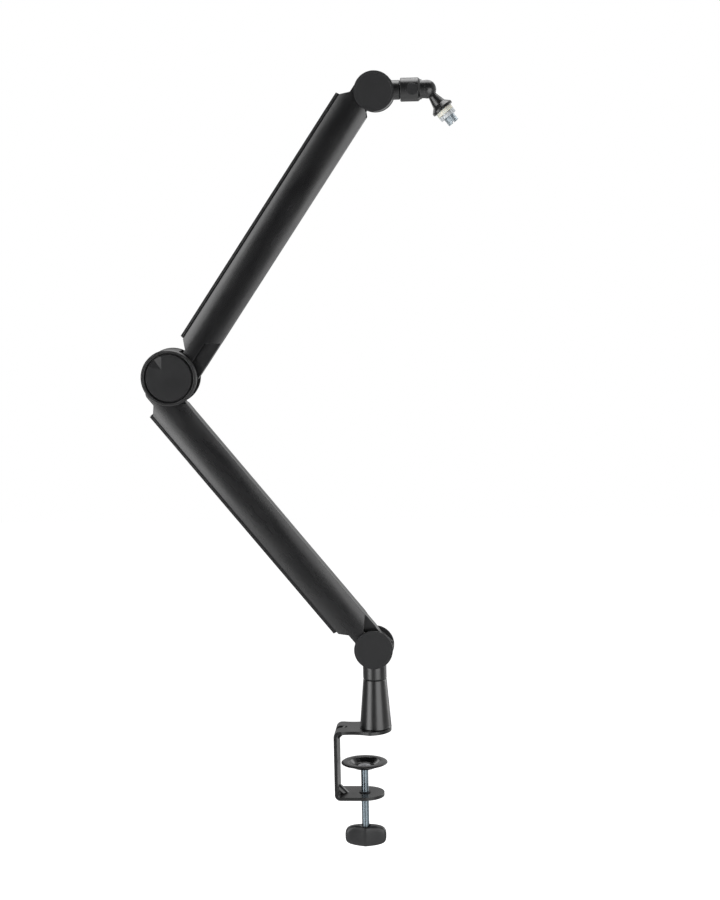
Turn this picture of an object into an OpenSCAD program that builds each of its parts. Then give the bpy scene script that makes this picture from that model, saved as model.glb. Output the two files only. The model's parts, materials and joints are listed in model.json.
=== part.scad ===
// Desktop microphone stand: a table clamp, a turning post, two sprung arms that are hidden
// parallelograms, and a swivel head with a thread for a microphone.
// X runs to the right, Y away from the viewer and Z up. The origin is the underside of the upper
// jaw, which rests on the desk, below the post's axis. The arms swing in the XZ plane.

/* [Rest pose] */
// Lean of the lower arm to the left of upright, in degrees
lower_lean = 39; // [25:1:50]
// Lean of the upper arm to the right of upright, in degrees
upper_lean = 34.3; // [31:0.1:70]
// Tilt of the microphone thread below level, in degrees
thread_tilt = 52; // [10:1:58]

/* [Clamp] */
// Thickness of the bent steel strap
strap_t = 4.5; // [3.5:0.5:6]
// Width of the strap at its leg and lower jaw
strap_w = 55; // [50:1:60]
// Width of the upper jaw at its waist
waist_w = 52; // [46:1:52]
// Opening between the jaws
jaw_gap = 90; // [80:1:100]
// Distance from the post's axis back to the inner face of the leg
leg_reach = 53; // [50:1:64]
// Radius of the inside of each bend
bend_r = 3.5; // [2:0.5:5]
// Radius of the round head that carries the post
head_r = 31.5; // [30:0.5:36]
// Distance from the post's axis back to the centre of the round head
head_back = 9.5; // [6:0.5:12]
// Distance from the post's axis back to the clamp screw's axis
screw_back = 17; // [12:0.5:18]
// Radius of the pressed rib in each bend
rib_r = 7; // [5:0.5:8]
// Distance that the pressed rib reaches out of the bend's corner
rib_in = 9.7; // [8:0.1:11]

/* [Clamp screw] */
// Outside diameter of the clamp screw
screw_d = 10.5; // [10:0.5:14]
// Diameter of the pressure cup
cup_d = 65; // [55:1:70]
// Diameter of the well in the pressure cup
well_d = 43; // [36:1:50]
// Depth of the well in the pressure cup
well_deep = 7; // [5:0.5:12]
// Thickness of the pressure cup's sheet
cup_t = 2; // [1.5:0.25:3]
// Drop from the upper jaw to the cup's rim in the photographed pose
cup_drop = 45; // [40:1:55]
// Drop from the upper jaw to the top of the wing knob in the photographed pose
wing_drop = 138; // [130:1:150]
// Width of the wing knob
wing_w = 58; // [46:1:70]
// Height of the wing knob
wing_h = 30; // [22:1:34]
// Thickness of the wing knob round the screw
wing_t = 21; // [18:0.5:28]

/* [Post] */
// Diameter of the post at the top
post_top_d = 32.8; // [30:0.1:32.8]
// Diameter of the post at the foot
post_foot_d = 44.5; // [41:0.5:48]
// Height of the joint between the post and the turning neck
joint_h = 74; // [66:1:84]
// Diameter of the spindle that turns in the post
spindle_d = 16; // [14:0.5:18]
// Length of the spindle's bush
bush_len = 30; // [20:1:36]
// Diameter of the post's three screws
foot_screw_d = 5; // [4:0.5:6]

/* [Hubs] */
// Height of the base hub's centre above the desk face
hub_h = 118.5; // [112:0.5:126]
// Radius of the round caps on the base hub and the tip hub
cap_r = 26.9; // [26:0.1:29]
// Thickness of a cap
cap_t = 3.8; // [3:0.2:5]
// Half of the width between the caps, where the arms swing
slot_half = 16.5; // [16.5:0.1:18]
// Radius of the elbow's ring and plates
ring_r = 38.7; // [38:0.1:41]
// Width of the elbow's ring
ring_w = 5.2; // [4:0.1:6]
// Radius of the tension knob
knob_r = 31.9; // [30:0.1:32.6]
// Thickness of the tension knob
knob_t = 4.2; // [4:0.2:7]

/* [Arms] */
// Distance between the two main pins of the lower arm
lower_len = 447; // [420:1:520]
// Distance between the two main pins of the upper arm
upper_len = 457; // [420:1:520]
// Distance from the main pins' line out to the face of the cable cover
cover_out = 24.5; // [23:0.1:26]
// Height of the cable channel and its cover above the arm's shoulder
channel_h = 5.4; // [4.6:0.1:6]
// Distance from the main pins' line in to the open edge of the arm
open_in = 27.3; // [25:0.1:30]
// Greatest width of an arm
arm_w = 31; // [30:0.5:31.6]
// Width of an arm at its open edge
edge_w = 24; // [23.6:0.1:26]
// Wall thickness of the arm profile
wall = 1.8; // [1.5:0.1:2]
// Width of the cable cover
cover_w = 18.4; // [16:0.2:20]
// Radius of the narrow end round each main pin
end_r = 8.8; // [8:0.1:9]

/* [Hidden bars] */
// Spacing of the two pins of the lower arm at each hub
lower_pins = 25.5; // [25:0.5:28]
// Spacing of the two pins of the upper arm at each hub
upper_pins = 29; // [28.5:0.5:31]
// Width of the second bar
bar_w = 19; // [17:0.2:19.4]
// Depth of the lower arm's second bar from its pins' line to its closed face
lower_bar_in = 7.6; // [7:0.1:9]
// Depth of the upper arm's second bar from its pins' line to its closed face
upper_bar_in = 11; // [10:0.1:12]
// Depth of the second bar from its pins' line to its open edge
bar_out = 7; // [6:0.1:7]
// Wall thickness of the second bar
bar_wall = 1.6; // [1.2:0.1:2]
// Diameter of the main pins
main_pin_d = 8; // [6:0.5:8]
// Diameter of the second bar's pins
bar_pin_d = 6; // [5:0.5:7]
// Outside diameter of the balance springs
spring_d = 10; // [8:0.5:11]
// Length of the balance springs' coils
spring_len = 190; // [120:5:240]

/* [Swivel head] */
// Height of the swivel's axis above the tip hub's centre
swivel_rise = 1.5; // [0:0.25:3]
// Diameter of the collar on the tip hub
collar_d = 26; // [22:0.5:30]
// Diameter of the swivel body
swivel_d = 31.6; // [28:0.2:34]
// Radius of the swivel body's round end
ball_r = 13.6; // [12.5:0.1:15]
// Distance from the tip hub's centre to the tilting pin
tilt_x = 70.7; // [66:0.1:76]
// Width of the slot in the swivel body
fork_gap = 12.6; // [11:0.2:14]

/* [Microphone thread] */
// Outside diameter of the thread that takes the microphone
thread_d = 15.875; // [15.875]
// Length of the adapter that stands out of the lock ring
thread_len = 10.6; // [8:0.2:14]
// Diameter of the nylon washer and the lock ring
ring_d = 24; // [22:0.5:28]
// Diameter of the connector's flange
flange_d = 30.5; // [28:0.5:32]

/* [Fits] */
// Radial clearance of pins and shafts that turn
fit = 0.05; // [0.02:0.01:0.08]
// Gap between flat faces that slide past each other
slide_gap = 0.15; // [0.1:0.05:0.3]

/* [Hidden] */
$fn = 64;

black = "#26272a";
satin = "#323336";
steel = "#b9bfc6";
cream = "#e6e2d4";
eps = 0.01;

// Places in the front view, as [x, z], worked from the base hub up to the tip
function along(length, angle) = [length * cos(angle), length * sin(angle)];
lower_dir = 90 + lower_lean;
upper_dir = 90 - upper_lean;
base_c = [0, hub_h];
base_main = base_c + [-17, 12.5];
base_second = base_main + [lower_pins, 0];
elbow_low_main = base_main + along(lower_len, lower_dir);
elbow_low_second = elbow_low_main + [lower_pins, 0];
elbow_c = elbow_low_main + [25, 22];
elbow_up_main = elbow_c + [19, 17];
elbow_up_second = elbow_up_main - [0, upper_pins];
tip_main = elbow_up_main + along(upper_len, upper_dir);
tip_second = tip_main - [0, upper_pins];
tip_c = tip_main + [11.5, -14.5];
tilt_c = tip_c + [tilt_x, swivel_rise];

// Depths of the layers in the hubs, measured from the arms' mid-plane
lug_half = 9.9;
ear_in = 6.3;
eye_half = 6;
lug_r = 7;
ear_r = 8;

// Heights across an arm, measured out from the main pins' line
shoulder = cover_out - channel_h;
section_mid = -4;
side_drop = (section_mid + open_in);
side_in = (arm_w - edge_w) / 2;
side_r = (side_drop * side_drop + side_in * side_in) / (2 * side_in);

// Extrudes a front view outline from depth y0 back to depth y1
module slab(y0, y1) {
  translate([0, y1, 0]) rotate([90, 0, 0]) linear_extrude(y1 - y0) children();
}

// Extrudes a front view outline twice, in front of and behind the mid-plane
module slab_pair(inner, outer) {
  slab(-outer, -inner) children();
  slab(inner, outer) children();
}

// A round rod through the front view point p, from depth y0 back to depth y1
module rod(p, r, y0, y1) {
  slab(y0, y1) translate(p) circle(r);
}

// Outline of a strap from circle ra at a to circle rb at b, with its sides tangent to both
module strap(a, b, ra, rb) {
  d = norm(b - a);
  dir = atan2(b.y - a.y, b.x - a.x);
  touch = acos((ra - rb) / d);
  translate(a) circle(ra);
  translate(b) circle(rb);
  polygon([a + along(ra, dir + touch), a + along(ra, dir - touch),
      b + along(rb, dir - touch), b + along(rb, dir + touch)]);
}

// Outline of a pie slice between two angles
module slice(r, from, to) {
  step = (to - from) / 8;
  polygon(concat([[0, 0]], [for (i = [0 : 8]) along(r, from + i * step)]));
}

// Places an arm's own frame: x along the arm from a pin, y out to the cable cover, z to the front
module on_arm(pin, dir) {
  translate([pin.x, 0, pin.y]) rotate([90, 0, 0]) rotate([0, 0, dir]) children();
}

// Outline of a round cornered rectangle about the origin
module soft_rect(w, h, r) {
  for (sx = [-1, 1], sy = [-1, 1]) translate([sx * (w / 2 - r), sy * (h / 2 - r)]) circle(r);
  square([w - 2 * r, h], center = true);
  square([w, h - 2 * r], center = true);
}

// Clamp

waist_x = -leg_reach * 0.62;
waist_r = 60;

module upper_jaw_plan() {
  difference() {
    union() {
      translate([-leg_reach + bend_r, -strap_w / 2])
        square([leg_reach - bend_r - head_back, strap_w]);
      translate([-head_back, 0]) circle(head_r);
    }
    for (side = [-1, 1])
      translate([waist_x, side * (waist_w / 2 + waist_r)]) circle(waist_r);
  }
}

module lower_jaw_plan() {
  translate([-leg_reach + bend_r, -strap_w / 2])
    square([leg_reach - bend_r - screw_back, strap_w]);
  translate([-screw_back, 0]) circle(strap_w / 2);
}

module bend(z, from) {
  translate([-leg_reach + bend_r, 0, z]) rotate([90, 0, 0]) rotate([0, 0, from])
    rotate_extrude(angle = 90) translate([bend_r, -strap_w / 2]) square([strap_t, strap_w]);
}

// A rib across an inside corner of the strap, round towards dir and open behind
module corner_rib(z, dir, r, out) {
  reach = leg_reach;
  translate([-leg_reach, 0, z]) rotate([0, -dir, 0]) {
    translate([out - r, 0, 0]) cylinder(r = r, h = reach, center = true);
    translate([out - r - reach, -r, -reach / 2]) cube([reach, 2 * r, reach]);
  }
}

rib_wall = 1.5;
rib_out = rib_in - strap_t * 0.7;
foot_circle_r = 15.5;
foot_thread = 15;
foot_head_r = foot_screw_d;
foot_head_h = foot_screw_d / 2;
insert_r = screw_d / 2 + 3;
insert_flange_r = insert_r + 3.5;
insert_flange_t = 3;
insert_collar = 1.2;

module at_foot_screws() {
  for (a = [90 : 120 : 330]) rotate([0, 0, a]) translate([foot_circle_r, 0, 0]) children();
}

module clamp_frame() {
  color(black) difference() {
    union() {
      linear_extrude(strap_t) upper_jaw_plan();
      translate([0, 0, -jaw_gap - strap_t]) linear_extrude(strap_t) lower_jaw_plan();
      translate([-leg_reach - strap_t, -strap_w / 2, -jaw_gap + bend_r])
        cube([strap_t, strap_w, jaw_gap - 2 * bend_r]);
      bend(-bend_r, 90);
      bend(-jaw_gap + bend_r, 180);
      intersection() {
        union() {
          corner_rib(0, -45, rib_r, rib_in);
          corner_rib(-jaw_gap, 45, rib_r, rib_in);
        }
        translate([-leg_reach - eps, -strap_w / 2, -jaw_gap - eps])
          cube([leg_reach, strap_w, jaw_gap + 2 * eps]);
      }
    }
    corner_rib(0, -45, rib_r - rib_wall, rib_out);
    corner_rib(-jaw_gap, 45, rib_r - rib_wall, rib_out);
    at_foot_screws() {
      translate([0, 0, -eps]) cylinder(r = foot_screw_d / 2 + 0.1, h = strap_t + 2 * eps);
      translate([0, 0, -eps])
        cylinder(r1 = foot_head_r + 0.2, r2 = foot_screw_d / 2 + 0.1, h = foot_head_h + 0.2);
    }
    translate([-screw_back, 0, -jaw_gap - strap_t - eps])
      cylinder(r = insert_r + 0.05, h = strap_t + 2 * eps);
  }
}

chamber_r = 11.5;
bush_wall = 3;
bush_flange_t = 1.2;
bush_r = spindle_d / 2 + bush_wall;
bush_low = joint_h - bush_len;

module post() {
  color(black) difference() {
    rotate_extrude() polygon([[0, strap_t], [post_foot_d / 2 - 0.6, strap_t],
        [post_foot_d / 2, strap_t + 0.6], [post_foot_d / 2 - 0.3, strap_t + 3],
        [post_top_d / 2, joint_h - 0.8], [post_top_d / 2 - 0.8, joint_h], [0, joint_h]]);
    translate([0, 0, bush_low - eps]) cylinder(r = bush_r + fit, h = bush_len + 2 * eps);
    translate([0, 0, strap_t + 4.5]) cylinder(r = chamber_r, h = bush_low - strap_t - 4.5 + eps);
    at_foot_screws() translate([0, 0, strap_t - eps])
      cylinder(r = foot_screw_d / 2 + 0.05, h = foot_thread);
  }
}

module post_screws() {
  color(steel) at_foot_screws() difference() {
    union() {
      translate([0, 0, 0.2]) cylinder(r1 = foot_head_r, r2 = foot_screw_d / 2, h = foot_head_h);
      translate([0, 0, foot_head_h]) cylinder(r = foot_screw_d / 2, h = foot_thread);
    }
    cylinder(r = foot_screw_d * 0.3, h = foot_head_h * 0.9, $fn = 6);
  }
}

module post_bush() {
  color(black) difference() {
    union() {
      translate([0, 0, bush_low]) cylinder(r = bush_r, h = bush_len);
      translate([0, 0, joint_h]) cylinder(r = post_top_d / 2 - 1, h = bush_flange_t);
    }
    translate([0, 0, bush_low - eps])
      cylinder(r = spindle_d / 2 + fit, h = bush_len + bush_flange_t + 2 * eps);
  }
}

module thread_insert() {
  color(steel) translate([-screw_back, 0, -jaw_gap - strap_t - insert_flange_t]) difference() {
    union() {
      cylinder(r = insert_flange_r, h = insert_flange_t);
      cylinder(r = insert_r, h = insert_flange_t + strap_t + insert_collar);
    }
    translate([0, 0, -eps])
      cylinder(r = screw_d / 2 + fit, h = insert_flange_t + strap_t + insert_collar + 2 * eps);
  }
}

// Pressure cup, screw and wing knob

cup_floor = -cup_drop - well_deep;
rivet_r = screw_d / 2 - 1.6;
rivet_head_r = screw_d / 2 + 3.5;
rivet_head_h = 1.3;
rivet_tip_h = 2.4;

module pressure_cup() {
  color(black) translate([-screw_back, 0, 0]) rotate_extrude() polygon([
      [rivet_r + 0.2, cup_floor - cup_t], [well_d / 2 - 5, cup_floor - cup_t],
      [well_d / 2 + 1, -cup_drop - cup_t], [cup_d / 2 - 1, -cup_drop - cup_t - 0.4],
      [cup_d / 2, -cup_drop - cup_t + 0.4], [cup_d / 2, -cup_drop - 0.8],
      [cup_d / 2 - 0.8, -cup_drop], [well_d / 2, -cup_drop],
      [well_d / 2 - 6.2, cup_floor], [rivet_r + 0.2, cup_floor]]);
}

module cup_washer() {
  color(steel) translate([-screw_back, 0, cup_floor - cup_t - 1.4]) difference() {
    cylinder(r = screw_d / 2 + 2.5, h = 1.3);
    translate([0, 0, -eps]) cylinder(r = rivet_r + 0.2, h = 2);
  }
}

screw_top = cup_floor - cup_t - 1.5;
screw_end = -wing_drop - wing_h + 4;
knob_pin_z = -wing_drop - wing_h * 0.45;
knob_pin_r = 1.5;
knob_pin_half = wing_t / 2 - 3;
wing_mid = wing_t * 0.42;
wing_tip = wing_t * 0.3;

module clamp_spindle() {
  color(steel) difference() {
    translate([-screw_back, 0, 0]) {
      translate([0, 0, screw_end]) cylinder(r = screw_d / 2, h = screw_top - screw_end);
      translate([0, 0, screw_top - eps]) cylinder(r = rivet_r, h = cup_floor + 0.2 - screw_top);
      translate([0, 0, cup_floor + 0.1]) {
        cylinder(r1 = rivet_head_r, r2 = rivet_head_r - 0.8, h = rivet_head_h);
        cylinder(r1 = rivet_r + 1, r2 = rivet_r - 0.6, h = rivet_tip_h);
      }
    }
    rod([-screw_back, knob_pin_z], knob_pin_r, -wing_t, wing_t);
  }
}

module wing_outline() {
  soft_rect(wing_w, wing_h, wing_h * 0.34);
}

module wing_body() {
  cylinder(r = wing_t / 2, h = wing_h);
  linear_extrude(wing_h) polygon([[-wing_w / 2, -wing_tip], [0, -wing_mid], [wing_w / 2, -wing_tip],
      [wing_w / 2, wing_tip], [0, wing_mid], [-wing_w / 2, wing_tip]]);
}

module wing_knob() {
  color(satin) translate([-screw_back, 0, 0]) difference() {
    intersection() {
      translate([0, 0, -wing_drop - wing_h / 2]) slab(-wing_t, wing_t) wing_outline();
      translate([0, 0, -wing_drop - wing_h]) wing_body();
    }
    translate([0, 0, screw_end - 0.1]) cylinder(r = screw_d / 2 + 0.05, h = 2 * wing_h);
    translate([0, 0, -wing_drop - 1.6]) cylinder(r1 = screw_d / 2, r2 = screw_d / 2 + 2.2, h = 1.7);
    rod([0, knob_pin_z], knob_pin_r + 0.05, -knob_pin_half - 0.1, knob_pin_half + 0.1);
  }
}

module knob_pin() {
  color(steel) rod([-screw_back, knob_pin_z], knob_pin_r - 0.02, -knob_pin_half, knob_pin_half);
}

// Turning neck with the base hub

neck_low = joint_h + bush_flange_t + slide_gap;
spindle_end = strap_t + 28;
groove_z = spindle_end + 3;
body_top = 3;
ear_shoulder = 6.4;

module cap(centre, front) {
  near = slot_half;
  bevel = 0.8;
  y0 = front ? -near : near;
  turn = front ? 90 : -90;
  translate([centre.x, y0, centre.y]) rotate([turn, 0, 0]) rotate_extrude()
    polygon([[0, 0], [cap_r - 0.4, 0], [cap_r, 0.4], [cap_r, cap_t - bevel],
        [cap_r - bevel, cap_t], [cap_r - 3, cap_t], [cap_r - 3.4, cap_t - 0.3], [0, cap_t - 0.3]]);
}

module turret_hub() {
  color(black) difference() {
    union() {
      slab(-slot_half + 0.05, slot_half - 0.05) translate(base_c) intersection() {
        circle(cap_r - 0.6);
        translate([-cap_r, -cap_r]) square([2 * cap_r, cap_r + body_top]);
      }
      translate([0, 0, neck_low]) cylinder(r = post_top_d / 2, h = hub_h - 12 - neck_low);
      translate([0, 0, spindle_end]) cylinder(r = spindle_d / 2, h = neck_low - spindle_end + eps);
      slab(-lug_half, lug_half) translate(base_c)
        strap([-17, 0], base_main - base_c, lug_r, lug_r);
      slab_pair(ear_in, lug_half) translate(base_c)
        strap([base_second.x, 0], base_second - base_c, ear_r, ear_r);
      slab_pair(ear_in, lug_half) translate(base_c) polygon([[0, 0],
          base_second - base_c + along(ear_r, 45), [cap_r - 1.6, ear_shoulder], [cap_r - 1.6, 0]]);
    }
    rod(base_main, main_pin_d / 2, -20, 20);
    rod(base_second, bar_pin_d / 2, -20, 20);
    translate([0, 0, groove_z]) difference() {
      cylinder(r = spindle_d, h = 1.4);
      translate([0, 0, -eps]) cylinder(r = spindle_d / 2 - 1.1, h = 2);
    }
  }
}

module turret_front_cap() {
  color(satin) cap(base_c, true);
}

module turret_rear_cap() {
  color(satin) cap(base_c, false);
}

module turret_retainer() {
  color(steel) {
    translate([0, 0, groove_z + 0.1]) difference() {
      cylinder(r = spindle_d / 2 + 2, h = 1.2);
      translate([0, 0, -eps]) cylinder(r = spindle_d / 2 - 1, h = 2);
      translate([-2.5, 0, -eps]) cube([5, 20, 2]);
    }
    translate([0, 0, groove_z + 1.5]) difference() {
      cylinder(r = chamber_r - 0.5, h = bush_low - slide_gap - groove_z - 1.5);
      translate([0, 0, -eps]) cylinder(r = spindle_d / 2 + fit, h = 20);
    }
  }
}

// Pins and washers that a hub carries

module main_pin(p) {
  rod(p, main_pin_d / 2, -15.1, 15.1);
}

module bar_pin(p) {
  rod(p, bar_pin_d / 2, -lug_half, lug_half);
}

washer_out = 12.9;

module pin_washers(p) {
  slab_pair(lug_half + 0.02, washer_out) translate(p) difference() {
    circle(lug_r - 0.6);
    circle(main_pin_d / 2 + 0.02);
  }
}

module base_pins() {
  color(steel) {
    main_pin(base_main);
    bar_pin(base_second);
  }
}

module base_washers() {
  color(cream) pin_washers(base_main);
}

// Arm profile: a channel with bulging sides, a cable channel on its back and an open inner edge

module lens(inset) {
  r = side_r - inset;
  x = side_r - arm_w / 2;
  intersection() {
    translate([-x, section_mid]) circle(r);
    translate([x, section_mid]) circle(r);
  }
}

channel_wall = 1.7;
channel_top = cover_out - 2.4;

module profile_section() {
  intersection() {
    difference() {
      lens(0);
      intersection() {
        lens(wall);
        translate([-20, -60]) square([40, 60 + shoulder - wall]);
      }
    }
    translate([-20, -open_in]) square([40, open_in + shoulder]);
  }
}

// Side view of a profile; each end is [start of the shoulder, start of the open edge, cut angle,
// start of the cover]
module profile_side(length, near, far) {
  rise = shoulder - end_r;
  drop = open_in - end_r;
  near_cut = drop / tan(near[2]);
  far_cut = drop / tan(far[2]);
  deep = 2 * arm_w;
  for (x = [0, length]) translate([x, 0, -deep / 2]) cylinder(r = end_r, h = deep);
  translate([0, 0, -deep / 2]) linear_extrude(deep) polygon([[0, -end_r], [0, end_r],
      [near[0] - rise, end_r], [near[0], shoulder], [length - far[0], shoulder],
      [length - far[0] + rise, end_r], [length, end_r], [length, -end_r],
      [length - far[1] + far_cut, -end_r], [length - far[1], -open_in],
      [near[1], -open_in], [near[1] - near_cut, -end_r]]);
}

module profile(length, near, far) {
  difference() {
    union() {
      intersection() {
        translate([-20, 0, 0]) rotate([0, 90, 0]) linear_extrude(length + 40) profile_section();
        profile_side(length, near, far);
      }
      for (z = [-cover_w / 2, cover_w / 2 - channel_wall])
        translate([near[3], shoulder - wall / 2, z])
          cube([length - near[3] - far[3], channel_top - shoulder + wall / 2, channel_wall]);
    }
    for (x = [0, length])
      translate([x, 0, 0]) cylinder(r = main_pin_d / 2 + fit, h = 2 * arm_w, center = true);
    for (x = spring_ends(length)) translate([x, spring_v, 0])
      cylinder(r = spring_pin_r + 0.02, h = 2 * spring_pin_half + 0.1, center = true);
  }
}

module cable_cover(length, near, far) {
  lip = 0.05;
  leg_out = cover_w / 2 - channel_wall - 0.1;
  translate([near[3] + 0.5, 0, 0]) rotate([0, 90, 0])
    linear_extrude(length - near[3] - far[3] - 1) difference() {
      union() {
        translate([-cover_w / 2, channel_top + lip]) square([cover_w, 1.5]);
        translate([-cover_w / 2 + 0.9, channel_top + lip])
          square([cover_w - 1.8, cover_out - channel_top - lip]);
        for (side = [-1, 1]) translate([side * (leg_out - 0.6) - 0.6, shoulder + 0.6])
          square([1.2, channel_top - shoulder]);
      }
      for (x = [-4.2, 0, 4.2]) translate([x - 0.35, cover_out - 0.6]) square([0.7, 1]);
    }
}

spring_v = 6;
spring_gap = 0.8;
spring_wire = 1.6;
spring_hook = 12;
spring_pin_r = 2;
spring_pin_half = (wall_at(spring_v, 0) + wall_at(spring_v, wall)) / 2;

// Half width of the profile's section at height v, inset from its outside
function wall_at(v, inset) =
    sqrt(pow(side_r - inset, 2) - pow(v - section_mid, 2)) - side_r + arm_w / 2;

// Where the two cross pins that hold an arm's springs stand
function spring_ends(length) = [length * 0.26, length * 0.26 + spring_len + 2 * spring_hook];

module springs(length) {
  z = (spring_d + spring_gap) / 2;
  ends = spring_ends(length);
  wire = spring_wire;
  for (side = [-1, 1]) translate([0, spring_v, side * z]) {
    translate([ends[0] + spring_hook, 0, 0]) rotate([0, 90, 0]) difference() {
      cylinder(r = spring_d / 2, h = spring_len);
      translate([0, 0, wire]) cylinder(r = spring_d / 2 - wire, h = spring_len - 2 * wire);
    }
    for (x = ends) {
      inward = x == ends[0] ? 1 : -1;
      difference() {
        translate([x, 0, 0]) cylinder(r = spring_pin_r + wire + 0.05, h = 2 * wire, center = true);
        translate([x, 0, 0]) cylinder(r = spring_pin_r + 0.05, h = 4 * wire, center = true);
      }
      translate([x + inward * 7.6, 0, 0]) rotate([0, 90, 0])
        cylinder(r = wire / 2 + 0.2, h = 9.2, center = true);
    }
  }
}

module spring_pins(length) {
  for (x = spring_ends(length)) translate([x, spring_v, 0])
    cylinder(r = spring_pin_r, h = 2 * spring_pin_half, center = true);
}

lower_near = [27.2, 24.7, 45, 30.6];
lower_far = [23.7, 40, 57, 21.5];
upper_near = [30, 53, 58, 31];
upper_far = [34, 39, 42, 34];

module lower_profile() {
  color(black) on_arm(base_main, lower_dir) profile(lower_len, lower_near, lower_far);
}

module lower_cable_cover() {
  color(satin) on_arm(base_main, lower_dir) cable_cover(lower_len, lower_near, lower_far);
}

module lower_springs() {
  color(steel) on_arm(base_main, lower_dir) springs(lower_len);
}

module lower_spring_pins() {
  color(steel) on_arm(base_main, lower_dir) spring_pins(lower_len);
}

module upper_profile() {
  color(black) on_arm(elbow_up_main, upper_dir) profile(upper_len, upper_near, upper_far);
}

module upper_cable_cover() {
  color(satin) on_arm(elbow_up_main, upper_dir) cable_cover(upper_len, upper_near, upper_far);
}

module upper_springs() {
  color(steel) on_arm(elbow_up_main, upper_dir) springs(upper_len);
}

module upper_spring_pins() {
  color(steel) on_arm(elbow_up_main, upper_dir) spring_pins(upper_len);
}

// Second bar: a channel that nests in the arm's open side, with a cast end at each hub

bar_start = 38;
plug_in = 30;
flare_from = 14;
flare_to = 18;
bar_groove = 1.4;

module bar_section(face) {
  difference() {
    translate([-bar_w / 2, -face]) square([bar_w, face + bar_out]);
    translate([-bar_w / 2 + bar_wall, -face + bar_wall])
      square([bar_w - 2 * bar_wall, face + bar_out]);
    translate([-bar_groove / 2, -face - 1]) square([bar_groove, 1 + bar_wall / 2]);
  }
}

module link_bar(length, face) {
  translate([bar_start, 0, 0]) rotate([0, 90, 0])
    linear_extrude(length - 2 * bar_start) bar_section(face);
}

// A cast end with its eye at the origin and the bar running off along x
module link_end(open_pivot, face) {
  inside = bar_w / 2 - bar_wall - 0.05;
  floor_in = face - bar_wall - 0.05;
  side = open_pivot ? 3 * fit : fit;
  difference() {
    union() {
      translate([0, 0, -eye_half]) linear_extrude(2 * eye_half) {
        circle(bar_out);
        polygon([[0, -bar_out], [flare_from, -bar_out], [flare_to, -face],
            [bar_start - 0.1, -face], [bar_start - 0.1, bar_out], [0, bar_out]]);
      }
      translate([0, 0, -inside]) linear_extrude(2 * inside) polygon([
          [10, -bar_out], [flare_from, -bar_out], [flare_to, -face],
          [bar_start - 0.1, -face], [bar_start - 0.1, -floor_in],
          [bar_start + plug_in, -floor_in], [bar_start + plug_in, 2], [bar_start, bar_out - 1],
          [bar_start - 0.1, bar_out], [10, bar_out]]);
    }
    translate([0, 0, -20]) cylinder(r = bar_pin_d / 2 + side, h = 40);
  }
}

module lower_link_bar() {
  color(satin) on_arm(base_second, lower_dir) link_bar(lower_len, lower_bar_in);
}

module lower_link_base_end() {
  color(black) on_arm(base_second, lower_dir) link_end(false, lower_bar_in);
}

module lower_link_elbow_end() {
  color(black) on_arm(base_second, lower_dir) translate([lower_len, 0, 0]) mirror([1, 0, 0])
    link_end(true, lower_bar_in);
}

module upper_link_bar() {
  color(satin) on_arm(elbow_up_second, upper_dir) link_bar(upper_len, upper_bar_in);
}

module upper_link_elbow_end() {
  color(black) on_arm(elbow_up_second, upper_dir) link_end(false, upper_bar_in);
}

module upper_link_tip_end() {
  color(black) on_arm(elbow_up_second, upper_dir) translate([upper_len, 0, 0])
    mirror([1, 0, 0]) link_end(true, upper_bar_in);
}

// Elbow

rim_from = 69;
rim_to = 204;
rim_in = 27;
core_r = 9;
strut_dirs = [120, 165];
strut_w = 15.6;
strut_len = 34;
stud_r = 4;
plate_t = 3.8;
front_floor = slot_half + 1.4;
ring_lift = 1.8;
ring_front = slot_half + cap_t + ring_lift;

module elbow_hub() {
  up = elbow_up_main - elbow_c;
  up_second = elbow_up_second - elbow_c;
  low = elbow_low_main - elbow_c;
  low_second = elbow_low_second - elbow_c;
  color(black) difference() {
    union() {
      slab(slot_half, slot_half + plate_t) translate(elbow_c) circle(ring_r);
      slab(-slot_half + 0.05, slot_half + eps) translate(elbow_c) intersection() {
        difference() {
          circle(ring_r - 0.5);
          circle(rim_in);
        }
        slice(2 * ring_r, rim_from, rim_to);
      }
      rod(elbow_c, core_r, -lug_half, slot_half + eps);
      for (a = strut_dirs) slab(-lug_half, slot_half + eps) translate(elbow_c)
        rotate([0, 0, a]) translate([0, -strut_w / 2]) square([strut_len, strut_w]);
      slab(-lug_half, lug_half) translate(elbow_c) {
        strap([0, 0], up, core_r, lug_r);
        strap([0, 0], low, core_r, lug_r);
      }
      slab_pair(ear_in, lug_half) translate(elbow_c) {
        strap([0, 0], up_second, core_r, ear_r);
        strap([0, 0], low_second, core_r, ear_r);
      }
    }
    rod(elbow_up_main, main_pin_d / 2, -20, 20);
    rod(elbow_low_main, main_pin_d / 2, -20, 20);
    rod(elbow_up_second, bar_pin_d / 2, -20, 15);
    rod(elbow_low_second, bar_pin_d / 2, -20, 15);
    rod(elbow_c, stud_r + fit, -20, 14);
  }
}

module elbow_ring_plate() {
  color(black) translate([elbow_c.x, 0, elbow_c.y]) rotate([90, 0, 0]) rotate_extrude()
    polygon([[14, slot_half], [ring_r, slot_half], [ring_r, ring_front - 1.6],
        [ring_r - 1.4, ring_front], [ring_r - ring_w + 1.2, ring_front],
        [ring_r - ring_w, ring_front - 1.2], [ring_r - ring_w, front_floor], [14, front_floor]]);
}

module elbow_pins() {
  color(steel) {
    main_pin(elbow_up_main);
    main_pin(elbow_low_main);
    bar_pin(elbow_up_second);
    bar_pin(elbow_low_second);
  }
}

module elbow_washers() {
  color(cream) {
    pin_washers(elbow_up_main);
    pin_washers(elbow_low_main);
  }
}

washer_t = 1;
knob_back = front_floor + washer_t + 0.1;
knob_front = knob_back + knob_t;
scoop_dir = 127.5;
scoop_from = 14.9;
scoop_half = 12.3;
scoop_deep = 2.8;

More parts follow.
